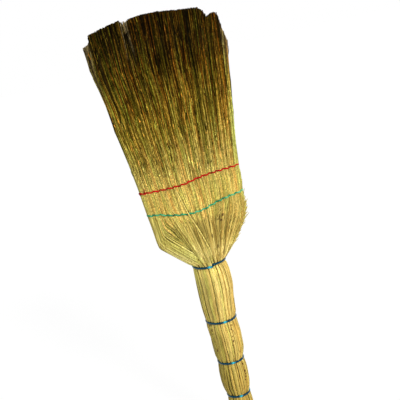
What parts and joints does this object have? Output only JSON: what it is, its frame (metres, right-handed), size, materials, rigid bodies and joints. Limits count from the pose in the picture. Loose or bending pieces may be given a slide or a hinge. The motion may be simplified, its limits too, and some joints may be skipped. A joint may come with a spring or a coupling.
{
  "type": "corn broom",
  "caption": "Hand-tied corn broom: a round handle of bound sorghum stalks flares at the neck into a flat stitched fan whose loose bristles bend and spring back.",
  "frame": {"origin": "middle of the flat butt face of the handle", "axes": "+Z along the handle from the butt to the bristle tips, X across the fan, Y through its thickness with the front towards -Y"},
  "size_m": [0.2384, 0.0626, 0.8057],
  "materials": {
    "stalk_straw": "dry pale gold stalk, satin",
    "bristle_straw": "dry straw, gold at the root to brown at the tip",
    "blue_wire": "glossy plastic-coated tying wire",
    "green_thread": "twisted sewing thread",
    "red_thread": "twisted sewing thread"
  },
  "bodies": {
    "handle": {"front_left_shoulder_stalks": "stalk_straw", "front_left_stalks": "stalk_straw", "front_mid_left_stalks": "stalk_straw", "front_mid_right_stalks": "stalk_straw", "front_right_stalks": "stalk_straw", "front_right_shoulder_stalks": "stalk_straw", "back_left_shoulder_stalks": "stalk_straw", "back_left_stalks": "stalk_straw", "back_mid_left_stalks": "stalk_straw", "back_mid_right_stalks": "stalk_straw", "back_right_stalks": "stalk_straw", "back_right_shoulder_stalks": "stalk_straw", "butt_tie": "blue_wire", "lower_tie": "blue_wire", "middle_tie": "blue_wire", "upper_tie": "blue_wire", "neck_tie": "blue_wire", "green_stitch": "green_thread", "red_stitch": "red_thread"},
    "brush": {"front_left_shoulder_bristles": "bristle_straw", "front_left_bristles": "bristle_straw", "front_mid_left_bristles": "bristle_straw", "front_mid_right_bristles": "bristle_straw", "front_right_bristles": "bristle_straw", "front_right_shoulder_bristles": "bristle_straw", "back_left_shoulder_bristles": "bristle_straw", "back_left_bristles": "bristle_straw", "back_mid_left_bristles": "bristle_straw", "back_mid_right_bristles": "bristle_straw", "back_right_bristles": "bristle_straw", "back_right_shoulder_bristles": "bristle_straw"}
  },
  "joints": [
    {"name": "sweep_flex", "type": "hinge", "parent": "handle", "child": "brush", "pos_m": [0, 0, 0.56259], "axis": [1, 0, 0], "range_deg": [-25, 25], "stiffness_Nm_per_rad": 10}
  ]
}
